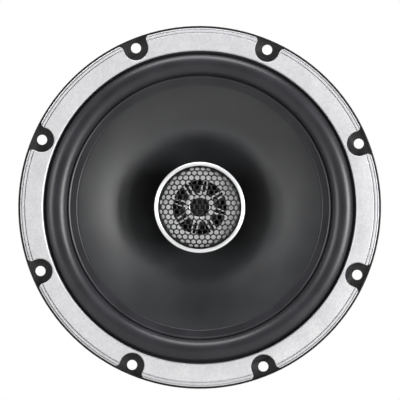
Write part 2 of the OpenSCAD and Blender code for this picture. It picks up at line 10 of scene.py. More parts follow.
import bmesh
import bpy
import numpy as np
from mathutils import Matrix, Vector


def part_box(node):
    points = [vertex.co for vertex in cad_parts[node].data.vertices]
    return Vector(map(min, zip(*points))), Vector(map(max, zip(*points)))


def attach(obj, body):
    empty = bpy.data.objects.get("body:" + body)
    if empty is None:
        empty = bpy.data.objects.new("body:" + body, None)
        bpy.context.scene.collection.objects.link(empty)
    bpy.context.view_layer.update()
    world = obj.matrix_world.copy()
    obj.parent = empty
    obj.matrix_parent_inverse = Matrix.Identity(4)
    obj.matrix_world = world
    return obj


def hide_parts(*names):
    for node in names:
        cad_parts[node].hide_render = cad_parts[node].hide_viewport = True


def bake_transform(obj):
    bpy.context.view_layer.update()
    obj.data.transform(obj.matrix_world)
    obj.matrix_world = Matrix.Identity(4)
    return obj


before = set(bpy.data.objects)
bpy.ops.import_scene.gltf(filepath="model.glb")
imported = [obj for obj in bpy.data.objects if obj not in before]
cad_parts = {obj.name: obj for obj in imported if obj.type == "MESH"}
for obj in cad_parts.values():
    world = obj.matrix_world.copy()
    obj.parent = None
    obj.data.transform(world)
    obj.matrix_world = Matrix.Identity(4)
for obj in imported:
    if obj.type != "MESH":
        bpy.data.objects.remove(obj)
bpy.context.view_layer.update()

# %% [markdown]
# ## The camera
# A product picture of a loudspeaker is taken straight on from far away with a long lens, so that the rim
# stays a circle and nothing looks larger for being nearer. The focal length follows from three sizes: the
# radius of the flange, the distance, and the share of the frame's width that the radius takes up.

# %% Camera
flange_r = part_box("basket")[1].x
VIEW_DISTANCE = 1.6      # metres from the flange's face
SENSOR = 36.0            # mm
RADIUS_SHARE = 0.4534    # flange radius over the width of the frame
AIM_RIGHT = 0.00012      # the lens looks this far beside and above the speaker's axis
AIM_UP = 0.00335
TURNED = 0.7             # the speaker looks turned this many degrees clockwise

camera_data = bpy.data.cameras.new("camera")
camera_data.sensor_width = SENSOR
camera_data.lens = SENSOR * RADIUS_SHARE * VIEW_DISTANCE / flange_r
camera_data.clip_start = 0.05
camera_data.clip_end = 20
camera = bpy.data.objects.new("camera", camera_data)
camera.location = (AIM_RIGHT, -VIEW_DISTANCE - 0.0027, AIM_UP)
camera.rotation_euler = (math.pi / 2, -math.radians(TURNED), 0)
bpy.context.scene.collection.objects.link(camera)
bpy.context.scene.camera = camera
bpy.context.scene.view_settings.view_transform = "Standard"
print("focal length in mm:", round(camera_data.lens, 1))

# %% [markdown]
# ## Colours and nodes
# Paint charts and product sheets give colours in sRGB, but the renderer adds up light, so each hex value
# is turned linear once, by one function. One more function adds any shader node: its own settings come as
# keywords, its socket values and its links as dictionaries.


# %% Colour and node helpers
def linear(hexcode):
    """An sRGB hex colour as the linear colour that a shader socket takes."""
    shares = [int(hexcode[i:i + 2], 16) / 255 for i in (1, 3, 5)]
    return [s / 12.92 if s <= 0.04045 else ((s + 0.055) / 1.055) ** 2.4 for s in shares] + [1.0]


def add(tree, kind, values=None, links=None, stops=None, **settings):
    """Adds one shader node. Stops are the (place, colour) pairs of a colour ramp."""
    node = tree.nodes.new("ShaderNode" + kind)
    for name, setting in settings.items():
        setattr(node, name, setting)
    for socket, value in (values or {}).items():
        node.inputs[socket].default_value = value
    for socket, source in (links or {}).items():
        tree.links.new(source, node.inputs[socket])
    for element, (place, colour) in zip(node.color_ramp.elements if stops else [], stops or []):
        element.position = place
        element.color = colour
    return node


print("mid grey in linear light:", round(linear("#808080")[0], 3))

# %% [markdown]
# ## Studio light
# The speaker hangs in a bright white room. The camera sees the room as plain white, and the object is lit
# by a dimmer share of it. Three softboxes draw the highlights: the main one on the right and a weaker one
# on the left, each far to the side so that the half roll catches a soft arc on its slopes, and a strip
# overhead. A fourth stands behind, for the motor. They don't show themselves to the camera.

# %% World
ROOM_LIGHT = 0.16
world = bpy.data.worlds.new("white_room")
world.use_nodes = True
room = world.node_tree
room.nodes.clear()
seen = add(room, "Background", {"Color": linear("#FFFFFF"), "Strength": 1.0})
shining = add(room, "Background", {"Color": linear("#F7F9FC"), "Strength": ROOM_LIGHT})
path = add(room, "LightPath")
either = add(room, "MixShader", links={
    0: path.outputs["Is Camera Ray"], 1: shining.outputs[0], 2: seen.outputs[0]})
add(room, "OutputWorld", links={"Surface": either.outputs[0]})
bpy.context.scene.world = world


# %% Softboxes
def softbox(name, place, width, height, watts):
    """A rectangular lamp that faces the speaker."""
    lamp = bpy.data.lights.new(name, "AREA")
    lamp.shape = "RECTANGLE"
    lamp.size = width
    lamp.size_y = height
    lamp.energy = watts
    stand = bpy.data.objects.new(name, lamp)
    stand.location = place
    stand.rotation_euler = Vector(place).to_track_quat("Z", "Y").to_euler()
    stand.visible_camera = False
    bpy.context.scene.collection.objects.link(stand)
    return stand


softboxes = [softbox("right_softbox", (0.87, -0.52, -0.10), 0.42, 0.75, 19.5),
             softbox("left_softbox", (-0.87, -0.50, 0.10), 0.42, 0.60, 6),
             softbox("top_strip", (0.0, -0.24, 0.95), 0.90, 0.20, 10),
             softbox("rear_softbox", (-0.75, 1.05, 0.75), 0.70, 0.70, 8)]
print("softboxes:", len(softboxes))

# %% [markdown]
# ## The floor
# A pale painted floor lies well below the speaker, so its far edge stays out of the straight view and the
# other views look down on it. A broad, faint mottling keeps it from looking like a sheet of one colour.
# The softboxes stand close to the speaker and would burn bright patches into the floor, so they are
# linked to everything but the floor, and a wide ceiling lamp is linked to the floor alone.

# %% Floor
FLOOR_Z = -0.25
FLOOR_CORNERS = [(-1.1, -1.5), (1.6, -1.5), (1.6, 1.1), (-1.1, 1.1)]
floor_mesh = bpy.data.meshes.new("floor")
floor_mesh.from_pydata([(x, y, FLOOR_Z) for x, y in FLOOR_CORNERS], [], [(0, 1, 2, 3)])
floor = bpy.data.objects.new("floor", floor_mesh)
bpy.context.scene.collection.objects.link(floor)
floor_paint = bpy.data.materials.new("matt_floor_paint")
floor_paint.use_nodes = True
coat = floor_paint.node_tree
patches = add(coat, "TexNoise", {"Scale": 2.5, "Detail": 3.0},
              {"Vector": add(coat, "TexCoord").outputs["Object"]})
tone = add(coat, "ValToRGB", links={"Fac": patches.outputs["Fac"]},
           stops=[(0.3, linear("#E6E5E2")), (0.7, linear("#EFEEEB"))])
coat.links.new(tone.outputs["Color"], coat.nodes["Principled BSDF"].inputs["Base Color"])
coat.nodes["Principled BSDF"].inputs["Roughness"].default_value = 0.7
floor_mesh.materials.append(floor_paint)

only_floor = bpy.data.collections.new("only_floor")
only_floor.objects.link(floor)
all_but_floor = bpy.data.collections.new("all_but_floor")
all_but_floor.objects.link(floor)
all_but_floor.collection_objects[0].light_linking.link_state = "EXCLUDE"
for lamp in softboxes:
    lamp.light_linking.receiver_collection = all_but_floor
ceiling = softbox("floor_ceiling", (0.2, -0.2, 2.6), 3.2, 3.2, 92)
ceiling.light_linking.receiver_collection = only_floor
print("floor at", FLOOR_Z, "m, lit by", ceiling.name)

# %% [markdown]
# ## How a finish is built
# Every finish here has the same three layers. A slow drift of colour keeps large faces alive, the same
# drift moves the gloss a little, and a fine grain raises the surface: orange peel in paint, spark texture
# in a moulded part, crystal in sintered ferrite. Sizes are in millimetres; object coordinates are in
# metres, so a pattern of so many millimetres has a scale of a thousand over that size.


# %% Finish helpers
def per_mm(size):
    """The texture scale whose features are about this many millimetres apart."""
    return 1000.0 / size


def bands(pitch):
    """The wave texture's scale for bands this many mm apart: at scale 1 they are pi / 10 apart."""
    return per_mm(pitch) * math.pi / 10


def finish(name, dark, light, rough, grain, depth, drift=14.0, metal=0.0, **sockets):
    """A material whose colour drifts from dark to light, with a grain of that size and depth in mm."""
    material = bpy.data.materials.new(name)
    material.use_nodes = True
    tree = material.node_tree
    shader = tree.nodes["Principled BSDF"]
    place = add(tree, "TexCoord", name="place").outputs["Object"]
    clouds = add(tree, "TexNoise", {"Scale": per_mm(drift), "Detail": 4.0}, {"Vector": place})
    colour = add(tree, "ValToRGB", links={"Fac": clouds.outputs["Fac"]},
                 stops=[(0.32, linear(dark)), (0.68, linear(light))], name="colour")
    gloss = add(tree, "MapRange", {"To Min": rough[0], "To Max": rough[1], "From Min": 0.3,
                                   "From Max": 0.7}, {"Value": clouds.outputs["Fac"]})
    bumps = add(tree, "TexNoise", {"Scale": per_mm(grain), "Detail": 2.0}, {"Vector": place})
    relief = add(tree, "Bump", {"Strength": 1.0, "Distance": depth / 1000},
                 {"Height": bumps.outputs["Fac"]}, name="relief")
    tree.links.new(colour.outputs["Color"], shader.inputs["Base Color"])
    tree.links.new(gloss.outputs["Result"], shader.inputs["Roughness"])
    tree.links.new(relief.outputs["Normal"], shader.inputs["Normal"])
    shader.inputs["Metallic"].default_value = metal
    for socket, value in sockets.items():
        shader.inputs[socket.replace("_", " ")].default_value = value
    return material


def press(material, height, depth):
    """Adds a second, larger relief of that depth in mm under a finish's grain."""
    tree = material.node_tree
    under = add(tree, "Bump", {"Strength": 1.0, "Distance": depth / 1000}, {"Height": height})
    tree.links.new(under.outputs["Normal"], tree.nodes["relief"].inputs["Normal"])


def tint(material, amount, colour):
    """Lays a second colour over a finish where amount is high."""
    tree = material.node_tree
    shader = tree.nodes["Principled BSDF"]
    under = shader.inputs["Base Color"].links[0].from_socket
    over = add(tree, "Mix", {7: linear(colour)}, {0: amount, 6: under}, data_type="RGBA")
    tree.links.new(over.outputs[2], shader.inputs["Base Color"])


print("a 0.5 mm grain has scale", per_mm(0.5))

# %% [markdown]
# ## Shapes from outlines
# Nearly all of a loudspeaker is turned, spun or pressed round one axis, so most pieces are an outline of
# radius and height swept round it. The outlines are written as on the drawing, in millimetres with the
# speaker lying on its back, and one function stands them up. Real edges are never knife sharp: a corner
# given a third number is rounded by that radius, and that is what catches the light.


# %% Shape helpers
def stood(x, y, z):
    """A point of the drawing, in mm with the front upwards, as it stands with its front to -Y."""
    return (x / 1000, -z / 1000, y / 1000)


def swing(centre, radius, start, end, steps):
    """Points along an arc, angles in degrees."""
    angles = np.radians(np.linspace(start, end, steps + 1))
    return [(centre[0] + radius * math.cos(a), centre[1] + radius * math.sin(a)) for a in angles]


def rounded(corners, closed=True, steps=4):
    """The outline with each corner (x, y, radius) worn round. Corners without a radius stay sharp."""
    outline = []
    for i, corner in enumerate(corners):
        here = Vector(corner[:2])
        inside = closed or 0 < i < len(corners) - 1
        if len(corner) == 2 or not inside:
            outline.append(tuple(here))
            continue
        back = Vector(corners[i - 1][:2]) - here
        ahead = Vector(corners[(i + 1) % len(corners)][:2]) - here
        reach = corner[2] / math.tan(back.angle(ahead) / 2)
        reach = min(reach, 0.48 * back.length, 0.48 * ahead.length)
        first = here + back.normalized() * reach
        last = here + ahead.normalized() * reach
        for t in np.linspace(0, 1, steps + 1):
            outline.append(tuple(first * (1 - t) ** 2 + here * 2 * t * (1 - t) + last * t * t))
    return outline


def sheet(path, thickness):
    """The closed outline of a sheet whose one side is the path, and the other to its right."""
    points = [Vector(p) for p in path]
    steps = [(b - a).normalized() for a, b in zip(points, points[1:])]
    other = []
    for i, point in enumerate(points):
        before = steps[max(i - 1, 0)]
        after = steps[min(i, len(steps) - 1)]
        side = Vector((before.y + after.y, -before.x - after.x))
        other.append(tuple(point + side * thickness / (1 + before.dot(after))))
    return [tuple(p) for p in points] + other[::-1]


def turned(outline, steps=240, centre=(0, 0), shape=None):
    """Sweeps a closed outline of (radius, height) round an upright axis through centre."""
    shape = shape or bmesh.new()
    rings = []
    for radius, height in outline:
        angles = np.linspace(0, 2 * math.pi, steps if radius > 1e-6 else 1, endpoint=False)
        rings.append([shape.verts.new(stood(centre[0] + radius * math.cos(a),
                                            centre[1] + radius * math.sin(a), height))
                      for a in angles])
    for inner, outer in zip(rings, rings[1:] + rings[:1]):
        if len(inner) == len(outer) == 1:
            continue
        for k in range(steps):
            loop = [inner[k % len(inner)], outer[k % len(outer)],
                    outer[(k + 1) % len(outer)], inner[(k + 1) % len(inner)]]
            shape.faces.new(list(dict.fromkeys(loop)))
    bmesh.ops.recalc_face_normals(shape, faces=shape.faces)
    return shape


def stacked(layers, shape=None, turn=0.0):
    """Joins layers of (flat outline, height) with equal point counts into one capped solid."""
    shape = shape or bmesh.new()
    c, s = math.cos(math.radians(turn)), math.sin(math.radians(turn))
    loops = [[shape.verts.new(stood(c * x - s * y, s * x + c * y, z)) for x, y in outline]
             for outline, z in layers]
    for low, high in zip(loops, loops[1:]):
        for k in range(len(low)):
            n = (k + 1) % len(low)
            shape.faces.new((low[k], low[n], high[n], high[k]))
    shape.faces.new(loops[0][::-1])
    shape.faces.new(loops[-1])
    bmesh.ops.recalc_face_normals(shape, faces=shape.faces)
    return shape


print("a rounded square has", len(rounded([(0, 0, 1), (9, 0, 1), (9, 9, 1), (0, 9, 1)])), "points")

# %% [markdown]
# ## Cutting, softening and fitting
# Holes are cut with a boolean, as a punch does. A part whose CAD mesh already has the right shape keeps
# it: its copy is welded, its flat faces are merged and its hard edges are bevelled. Fitting a piece gives
# it its finish and smooth shading that stops at real edges, puts it on the body it moves with, and hides
# the CAD nodes it stands for.


# %% Cut, soften, fit
def solid_object(name, shape):
    """Turns a finished shape into an object in the scene."""
    mesh = bpy.data.meshes.new(name)
    shape.to_mesh(mesh)
    shape.free()
    thing = bpy.data.objects.new(name, mesh)
    bpy.context.scene.collection.objects.link(thing)
    return thing


def carved(shape, cutter):
    """The shape with the cutter's volume punched out of it."""
    blank = solid_object("blank", shape)
    punch = solid_object("punch", cutter)
    boolean = blank.modifiers.new("cut", "BOOLEAN")
    boolean.object = punch
    boolean.operation = "DIFFERENCE"
    boolean.solver = "EXACT"
    result = bmesh.new()
    result.from_object(blank, bpy.context.evaluated_depsgraph_get())
    for spent in (blank, punch):
        bpy.data.objects.remove(spent)
    return result


def softened(node, width, steps=2):
    """A CAD node's own mesh with its hard edges rounded by width mm."""
    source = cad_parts[node].data
    plain = bpy.data.meshes.new("plain")
    plain.from_pydata([v.co for v in source.vertices], [], [list(p.vertices) for p in source.polygons])
    shape = bmesh.new()
    shape.from_mesh(plain)
    bpy.data.meshes.remove(plain)
    bmesh.ops.remove_doubles(shape, verts=shape.verts, dist=2e-6)
    bmesh.ops.dissolve_limit(shape, angle_limit=math.radians(0.4), verts=shape.verts,
                             edges=shape.edges)
    hard = [e for e in shape.edges if len(e.link_faces) == 2
            and e.calc_face_angle() > math.radians(38)]
    bmesh.ops.bevel(shape, geom=hard, offset=width / 1000, segments=steps, affect="EDGES",
                    profile=0.5, clamp_overlap=True)
    return shape


def fit(name, shape, material, body, nodes, sharp=32):
    """Shows a shape as a piece with its finish and smooth shading, on the body it moves with if any, and
    hides the CAD nodes it stands for.
    """
    piece = solid_object(name, shape)
    piece.data.materials.append(material)
    piece.data.shade_smooth()
    piece.data.set_sharp_from_angle(angle=math.radians(sharp))
    if body:
        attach(piece, body)
    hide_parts(*nodes)
    print(name, len(piece.data.polygons), "faces")
    return piece


def flexing(piece, still_r, moving_r):
    """Bakes a ring's placement into its mesh and works out how far each point would travel: not at all
    outside still_r mm from the axis, fully inside moving_r. The result is not used.
    """
    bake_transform(piece)
    places = np.array([v.co for v in piece.data.vertices])
    radius = np.hypot(places[:, 0], places[:, 2]) * 1000
    share = np.clip((still_r - radius) / (still_r - moving_r), 0, 1)
    share = share * share * (3 - 2 * share)


print("CAD nodes to stand for:", len(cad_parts))

# %% [markdown]
# ## Satin silver paint: the trim ring
# The ring is moulded ABS sprayed with a silver lacquer. Aluminium flakes lie nearly flat in it, so it
# shines broadly and sparkles finely. Real flakes are 0.03 mm; they are drawn near 1 mm to be seen at all.

# %% Silver lacquer
silver_lacquer = finish("silver_lacquer_on_abs", "#DADADC", "#E0E0E1", (0.42, 0.46), 1.0, 0.003,
                        drift=9.0, metal=0.5)
tree = silver_lacquer.node_tree
flakes = add(tree, "TexVoronoi", {"Scale": per_mm(0.9)},
             {"Vector": tree.nodes["place"].outputs["Object"]})
sparkle = add(tree, "ValToRGB", links={"Fac": flakes.outputs["Color"]},
              stops=[(0.25, linear("#F4F4F6")), (0.85, linear("#FFFFFF"))])
shader = tree.nodes["Principled BSDF"]
flaked = add(tree, "Mix", {0: 1.0}, {6: tree.nodes["colour"].outputs["Color"],
                                     7: sparkle.outputs["Color"]},
             data_type="RGBA", blend_type="MULTIPLY")
tree.links.new(flaked.outputs[2], shader.inputs["Base Color"])
shader.inputs["Coat Weight"].default_value = 0.15
shader.inputs["Coat Roughness"].default_value = 0.25
print("flake scale", round(per_mm(0.9)))

# %% [markdown]
# ## The trim ring
# It is a flat ring with three small terraces at its outer edge, set off by two grooves, and a notch round
# each screw. The ring is turned, and the notches are punched by eight cutters whose walls flare towards
# the top, which leaves the polished-looking round on every notch's edge.

# %% Trim ring
SCREW_CIRCLE_R = 78.0
SCREW_ANGLES = [22.5 + 45 * k for k in range(8)]
NOTCH_R = 5.6
NOTCH_CORNER_R = 1.8
NOTCH_CORNER_X = 79.406  # the corner's arc runs into the ring's outer edge from here

trim_outline = rounded([
    (74.8, 2.8), (81.5, 2.8, 0.1), (81.5, 5.2, 0.3), (81.3, 5.6, 0.15), (81.1, 5.6, 0.08),
    (80.9, 4.9), (80.75, 4.9), (80.5, 5.95, 0.1), (79.75, 5.95, 0.08), (79.5, 5.2), (79.35, 5.2),
    (79.1, 6.3, 0.12),
    (71.6, 6.3, 0.25), (71.1, 5.8, 0.25), (71.1, 3.6, 0.1), (74.8, 3.6)])


def notch_outline(wider):
    """The notch round one screw on +X, open at the rim, with its walls set back by wider mm."""
    y = NOTCH_R + NOTCH_CORNER_R
    corner_r = NOTCH_CORNER_R - wider
    low = swing((NOTCH_CORNER_X, -y), corner_r, 0, 90, 8)
    bowl = swing((SCREW_CIRCLE_R, 0), NOTCH_R + wider, 270, 90, 36)
    high = swing((NOTCH_CORNER_X, y), corner_r, -90, 0, 8)
    return [(86, -y), *low, *bowl, *high, (86, y)]


NOTCH_WALL = [(2.0, 0.0), (5.35, 0.0), (5.75, 0.07), (6.05, 0.2), (6.3, 0.42), (6.7, 0.85)]
punches = bmesh.new()
for angle in SCREW_ANGLES:
    stacked([(notch_outline(wider), z) for z, wider in NOTCH_WALL], punches, angle)
fit("painted_trim_ring", carved(turned(trim_outline, 480), punches), silver_lacquer,
    "basket_body", ["trim_ring"], sharp=40)

# %% [markdown]
# ## Powder coated steel: the basket
# The basket is deep drawn from 1.2 mm sheet and powder coated black. The powder melts into a fine wrinkle,
# real cells about 0.5 mm, drawn at 0.9 mm, that breaks every highlight. Its mesh is the CAD solid with
# softened edges, because a drawn part's shape is exactly its drawing.

# %% Basket
powder_coat = finish("black_powder_coat", "#0A0A0B", "#111112", (0.45, 0.58), 0.9, 0.06)
wrinkle = add(powder_coat.node_tree, "TexVoronoi", {"Scale": per_mm(1.6)},
              {"Vector": powder_coat.node_tree.nodes["place"].outputs["Object"]})
press(powder_coat, wrinkle.outputs["Distance"], 0.05)
fit("pressed_basket", softened("basket", 0.16), powder_coat, "basket_body", ["basket"],
    sharp=40)

# %% [markdown]
# ## Cellular foam: the gasket
# A die-cut ring of closed-cell foam seals the flange to the panel. Cut cells leave small pits, about
# 0.7 mm across, and a dull face without any gloss.

# %% Gasket
cell_foam = finish("closed_cell_foam", "#141415", "#232324", (0.85, 0.98), 0.7, 0.15)
fit("foam_gasket", softened("rear_gasket", 0.2), cell_foam, "basket_body",
    ["rear_gasket"])

# %% [markdown]
# ## Butyl rubber: the surround
# The surround is one moulded sheet: an outer flange under the trim ring, a half roll that lets the cone
# travel, a small bead at its foot and an inner flange, thinned inwards and glued on the cone. Moulded
# butyl has a satin skin, black with a slightly cool cast, and a very fine orange peel. In use the sheet
# bends between the basket and the cone: its outer edge stays, its inner edge travels. Here it is drawn at
# rest.

# %% Surround
butyl = finish("moulded_butyl_rubber", "#1B1B1F", "#232328", (0.38, 0.44), 0.8, 0.006)
ROLL_MID_R = 65.2
ROLL_FRONT = 5.0
ROLL_BACK = 4.3
front = rounded([
    (55.8, 2.95), (56.0, 3.1, 0.15), (58.9, 3.45, 0.3), (59.6, 3.85, 0.4), (60.35, 3.3, 0.4),
    *swing((ROLL_MID_R, 2.8), ROLL_FRONT, 172, 6, 44), (70.6, 3.5, 0.5), (74.5, 3.5)],
    closed=False)
back = [(74.5, 2.8), (69.7, 2.8), *swing((ROLL_MID_R, 2.8), ROLL_BACK, 4, 176, 40), (60.7, 2.8),
        (55.8, 2.8)]
surround = fit("half_roll_surround", turned(front + back, 320), butyl, None, ["surround"],
               sharp=50)
flexing(surround, 70.0, 60.4)

# %% [markdown]
# ## Mica filled polypropylene: the cone
# The cone is injection moulded from polypropylene with mica in it. The mould's satin texture makes it a
# soft dark grey with a broad sheen, and the mica shows as faint specks, drawn at 0.8 mm. Its throat
# is straight and steep, and from half way out the slope flares to nearly flat at the rim.

# %% Cone
mica_pp = finish("mica_filled_polypropylene", "#1A1B1D", "#202123", (0.42, 0.48), 0.8, 0.010,
                 drift=20.0, Specular_IOR_Level=0.7)
specks = add(mica_pp.node_tree, "TexVoronoi", {"Scale": per_mm(0.8)},
             {"Vector": mica_pp.node_tree.nodes["place"].outputs["Object"]})
shown = add(mica_pp.node_tree, "MapRange", {"From Min": 0.18, "From Max": 0.02, "To Max": 0.3},
            {"Value": specks.outputs["Distance"]})
tint(mica_pp, shown.outputs["Result"], "#393A3D")

CONE_FOOT = Vector((15.55, -18.5))
FLARE_START = Vector((30.0, -8.0))
CONE_EDGE = Vector((55.6, 2.7))
throat = FLARE_START - CONE_FOOT
chord = CONE_EDGE - FLARE_START
steep = math.atan2(throat.y, throat.x)
mean = math.atan2(chord.y, chord.x)
flare_r = chord.length / (2 * math.sin(steep - mean))
centre = FLARE_START + Vector((math.sin(steep), -math.cos(steep))) * flare_r
flare = swing(centre, flare_r, 90 + math.degrees(steep), 90 + math.degrees(2 * mean - steep), 30)
cone_front = sheet([*(CONE_FOOT.lerp(FLARE_START, k / 8) for k in range(8)), *flare,
                    (57.5, 2.7), (59.7, 2.7)], 0.6)
fit("woofer_cone", turned(cone_front, 320), mica_pp, "cone_body", ["cone"],
    sharp=50)
fit("cone_neck_collar", turned(rounded([
    (14.75, -19.1), (15.75, -19.1, 0.2), (15.75, -17.3, 0.25), (14.75, -17.3, 0.15)]), 160),
    mica_pp, "cone_body", ["cone"])
print("throat slope", round(math.degrees(steep)), "degrees, flare radius", round(flare_r), "mm")

# %% [markdown]
# ## The voice coil
# A strip of amber polyimide film is rolled into a tube and wound with enamelled copper wire. The wire is
# 0.25 mm thick; its turns are drawn 1 mm apart, as raised bands along the axis.

# %% Voice coils
polyimide = finish("polyimide_film", "#8A5518", "#A56A22", (0.18, 0.28), 3.0, 0.01,
                   Specular_IOR_Level=0.6)
enamelled = finish("enamelled_copper_wire", "#7E3512", "#9C4A1C", (0.25, 0.35), 0.8, 0.01,
                   metal=0.85)
turns = add(enamelled.node_tree, "TexWave", {"Scale": bands(1.0)},
            {"Vector": enamelled.node_tree.nodes["place"].outputs["Object"]}, bands_direction="Y")
press(enamelled, turns.outputs["Fac"], 0.12)
fit("voice_coil_tube", turned(rounded([
    (14.4, -46), (14.65, -46, 0.05), (14.65, -17.3, 0.05), (14.4, -17.3)]), 128), polyimide,
    "cone_body", ["voice_coil_former"])
fit("voice_coil_wire", turned(rounded([
    (14.67, -45.5), (15.35, -45.5, 0.2), (15.35, -33.5, 0.2), (14.67, -33.5)]), 128), enamelled,
    "cone_body", ["voice_coil_winding"])

# %% [markdown]
# ## Resin treated cloth: the spider
# Cotton cloth is dipped in phenolic resin and hot pressed into rings of waves. It keeps the coil centred
# and springs it back. The resin gives a yellow brown, and the weave stays visible as a grid of threads,
# 0.45 mm apart in reality and drawn at 1.8 mm.


# %% Cloth
def woven(material, pitch, depth):
    """Presses a plain weave into a finish: threads along X and Z, pitch mm apart."""
    tree = material.node_tree
    threads = [add(tree, "TexWave", {"Scale": bands(pitch), "Distortion": 0.4},
                   {"Vector": tree.nodes["place"].outputs["Object"]}, bands_direction=way)
               for way in ("X", "Z")]
    cloth = add(tree, "Math", links={0: threads[0].outputs["Fac"], 1: threads[1].outputs["Fac"]},
                operation="MULTIPLY")
    press(material, cloth.outputs["Value"], depth)
    return cloth


resin_cloth = finish("resin_treated_cotton", "#8B6427", "#A87D38", (0.55, 0.7), 0.8, 0.03)
gaps = woven(resin_cloth, 1.8, 0.12)
dark_gaps = add(resin_cloth.node_tree, "MapRange", {"From Max": 0.12, "To Min": 0.5, "To Max": 0.0},
                {"Value": gaps.outputs["Value"]})
tint(resin_cloth, dark_gaps.outputs["Result"], "#4A3010")

# %% Spider
WAVE_PITCH = 2.8
WAVE_HEIGHT = 1.1
waves = [(31.2 - t * WAVE_PITCH, -25.0 + WAVE_HEIGHT * math.sin(2 * math.pi * t))
         for t in np.linspace(0, 5, 121)]
spider_path = [(40.4, -25.0), *waves, (14.75, -25.0)]
spider = fit("corrugated_spider", turned(sheet(spider_path, -0.4), 240), resin_cloth, None,
             ["spider"], sharp=60)
flexing(spider, 31.2, 17.2)

# %% [markdown]
# ## The motor
# Two zinc plated steel plates hold a ring of sintered ferrite. Zinc gives a pale grey with cloudy patches,
# called spangle, and the lathe leaves fine rings. Ferrite is ground ceramic: dark, dull and grainy, with
# small chips along its edges, which the noise under its grain stands for.

# %% Plated steel and ferrite
zinc = finish("zinc_plated_steel", "#9A9DA1", "#B4B7BA", (0.30, 0.44), 1.2, 0.01, drift=7.0,
              metal=1.0)
ferrite = finish("sintered_ferrite", "#2A2A2C", "#3A3A3B", (0.5, 0.66), 0.9, 0.05, drift=5.0)
chips = add(ferrite.node_tree, "TexNoise", {"Scale": per_mm(4.0), "Detail": 5.0},
            {"Vector": ferrite.node_tree.nodes["place"].outputs["Object"]})
press(ferrite, chips.outputs["Fac"], 0.3)
bright_steel = finish("bright_zinc_rivet_steel", "#B9BBBE", "#CFD1D3", (0.20, 0.32), 0.8, 0.01,
                      drift=4.0, metal=1.0)

# %% Magnet, plates and pole
fit("ferrite_ring", turned(rounded([
    (23, -57, 0.4), (44.1, -57, 0.4), (45, -56.1, 0.5), (45, -42.9, 0.5), (44.1, -42, 0.4),
    (23, -42, 0.4)]), 240), ferrite, "basket_body", ["ferrite_magnet"])
fit("front_plate", softened("top_plate", 0.25), zinc, "basket_body", ["top_plate"])
fit("back_plate_with_pole", turned(rounded([
    (9, -62, 0.4), (42, -62, 0.4), (43, -61, 0.4), (43, -58, 0.4), (42, -57, 0.3), (14, -57),
    (14, -37.5, 0.4), (13, -36.5, 0.4), (4.2, -36.5, 0.2), (4.2, -57.5), (9, -57.5)]), 240), zinc,
    "basket_body", ["yoke"])

# %% Rivets of the basket
RIVET_CIRCLE_R = 25.375
rivets = bmesh.new()
for k in range(6):
    angle = math.radians(60 * k)
    turned(rounded([
        (0, -40.5), (1.5, -40.5), (1.5, -35.8), (3.0, -35.8, 0.15), (3.0, -35.1, 0.5),
        (1.9, -34.6, 0.6), (0, -34.6)]), 40,
        (RIVET_CIRCLE_R * math.cos(angle), RIVET_CIRCLE_R * math.sin(angle)), rivets)
fit("basket_rivet_heads", rivets, bright_steel, "basket_body", ["basket_rivets"])

# %% [markdown]
# ## The terminals
# A nylon block sits under one leg, held by two rivets. Its two tabs are push-on blades of two widths, so
# that a lead can't be put on the wrong way round. Each has the small locking hole that a push-on
# connector's dimple snaps into.

# %% Terminal finishes
nylon = finish("moulded_black_nylon", "#131314", "#1C1C1D", (0.36, 0.46), 0.8, 0.02)
brass = finish("brass_tab", "#B8954A", "#CDAC5E", (0.22, 0.34), 0.9, 0.01, drift=3.0, metal=1.0)
tinned_brass = finish("tinned_brass_tab", "#BDBFC1", "#D0D2D4", (0.25, 0.38), 0.9, 0.01,
                      drift=3.0, metal=1.0)

# %% Block, blades and rivets
LEG = math.radians(135)
LOCK_R = 0.7             # the dimple that a plug's spring catches in
LOCK_Z = -29.6
LOCK_SIDES = 24


def on_leg(x, y):
    """The drawing's place for a point x mm out along the terminal leg and y mm across it."""
    return (x * math.cos(LEG) - y * math.sin(LEG), x * math.sin(LEG) + y * math.cos(LEG))


def locking_hole(y):
    """A round punch through the blade at y, along the leg's direction."""
    punch = bmesh.new()
    around = np.linspace(0, 2 * math.pi, LOCK_SIDES, endpoint=False)
    rings = [[punch.verts.new(stood(*on_leg(x, y + LOCK_R * math.cos(a)), LOCK_Z + LOCK_R * math.sin(a)))
              for a in around] for x in (54, 58)]
    for k in range(LOCK_SIDES):
        punch.faces.new((rings[0][k], rings[0][k - 1], rings[1][k - 1], rings[1][k]))
    punch.faces.new(rings[0])
    punch.faces.new(rings[1][::-1])
    bmesh.ops.recalc_face_normals(punch, faces=punch.faces)
    return punch


fit("terminal_carrier", softened("terminal_block", 0.4, 3), nylon, "basket_body",
    ["terminal_block"])
fit("wide_blade", carved(softened("terminal_blade_positive", 0.12), locking_hole(-4)),
    brass, "basket_body", ["terminal_blade_positive"])
fit("narrow_blade", carved(softened("terminal_blade_negative", 0.12),
                           locking_hole(4)), tinned_brass, "basket_body",
    ["terminal_blade_negative"])
heads = bmesh.new()
for y in (-9.5, 9.5):
    turned(rounded([
        (0, -26.4), (1.6, -26.4, 0.5), (2.8, -25.9, 0.4), (2.8, -25.6), (1.5, -25.6), (1.5, -16.3),
        (2.8, -16.3), (2.8, -15.9, 0.3), (1.8, -15.5, 0.5), (0, -15.5)]), 40, on_leg(56, y), heads)
fit("terminal_rivet_heads", heads, bright_steel, "basket_body",
    ["terminal_rivets"])

# %% [markdown]
# ## Wires and leads
# A wire is a round section swept along a route. The route's points are those of the drawing, and a smooth
# curve is drawn through them, because a wire never turns a corner. Each tube also gets a map of how far
# along and round it a place is, in millimetres, so that a braid can follow the wire.


